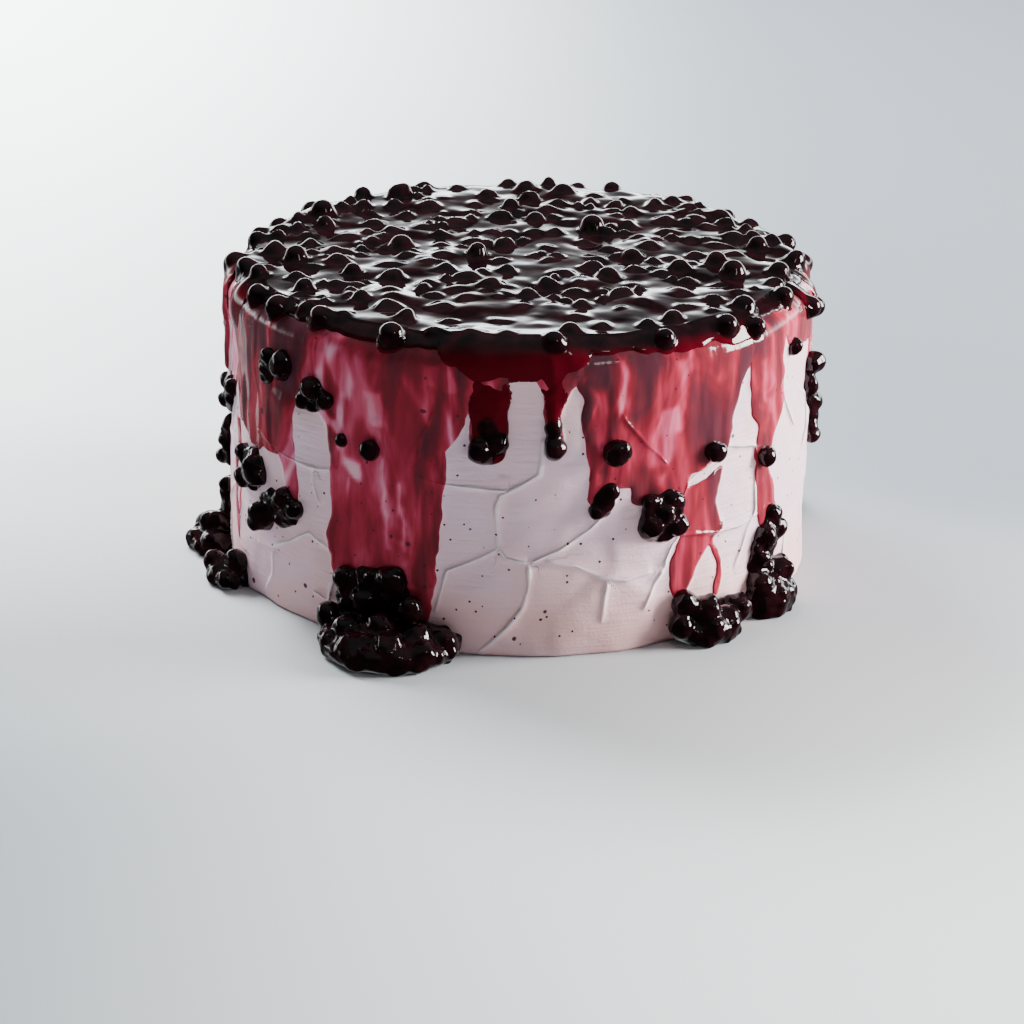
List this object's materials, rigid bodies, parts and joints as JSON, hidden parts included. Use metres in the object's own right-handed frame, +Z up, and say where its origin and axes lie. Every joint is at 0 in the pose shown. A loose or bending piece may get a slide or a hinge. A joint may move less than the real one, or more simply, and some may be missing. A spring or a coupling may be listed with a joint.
{
  "type": "layer cake",
  "caption": "Uncut round frosted layer cake under a glossy blueberry jam topping that runs down the side in drips, clusters and heaps at the foot.",
  "frame": {"origin": "the cake's axis on its base plane, z = 0", "axes": "+Z up along the cake's axis, -Y towards the front that the picture shows, +X to the picture's right"},
  "size_m": [0.2256, 0.2302, 0.114],
  "materials": {
    "frosting": "soft matt frosting, pale lavender pink",
    "topping": "wet and glossy, nearly black berries in dark red jam"
  },
  "bodies": {
    "root": {"back_berry_a": "topping", "back_berry_b": "topping", "back_berry_c": "topping", "back_cluster": "topping", "back_drip_a": "topping", "back_foot_a": "topping", "back_foot_b": "topping", "back_heap": "topping", "back_lower": "topping", "back_rim": "topping", "back_square": "topping", "back_string": "topping", "berry_large": "topping", "berry_left": "topping", "berry_middle": "topping", "berry_right": "topping", "berry_shrivelled": "topping", "berry_topping": "topping", "berry_under_rim": "topping", "front_heap": "topping", "frosted_cake": "frosting", "left_drip": "topping", "left_foot": "topping", "left_front": "topping", "left_high": "topping", "left_lower": "topping", "left_middle": "topping", "left_pool": "topping", "left_rim": "topping", "right_column": "topping", "right_foot": "topping", "right_square": "topping", "right_string": "topping", "slanted_drip": "topping"}
  },
  "joints": []
}
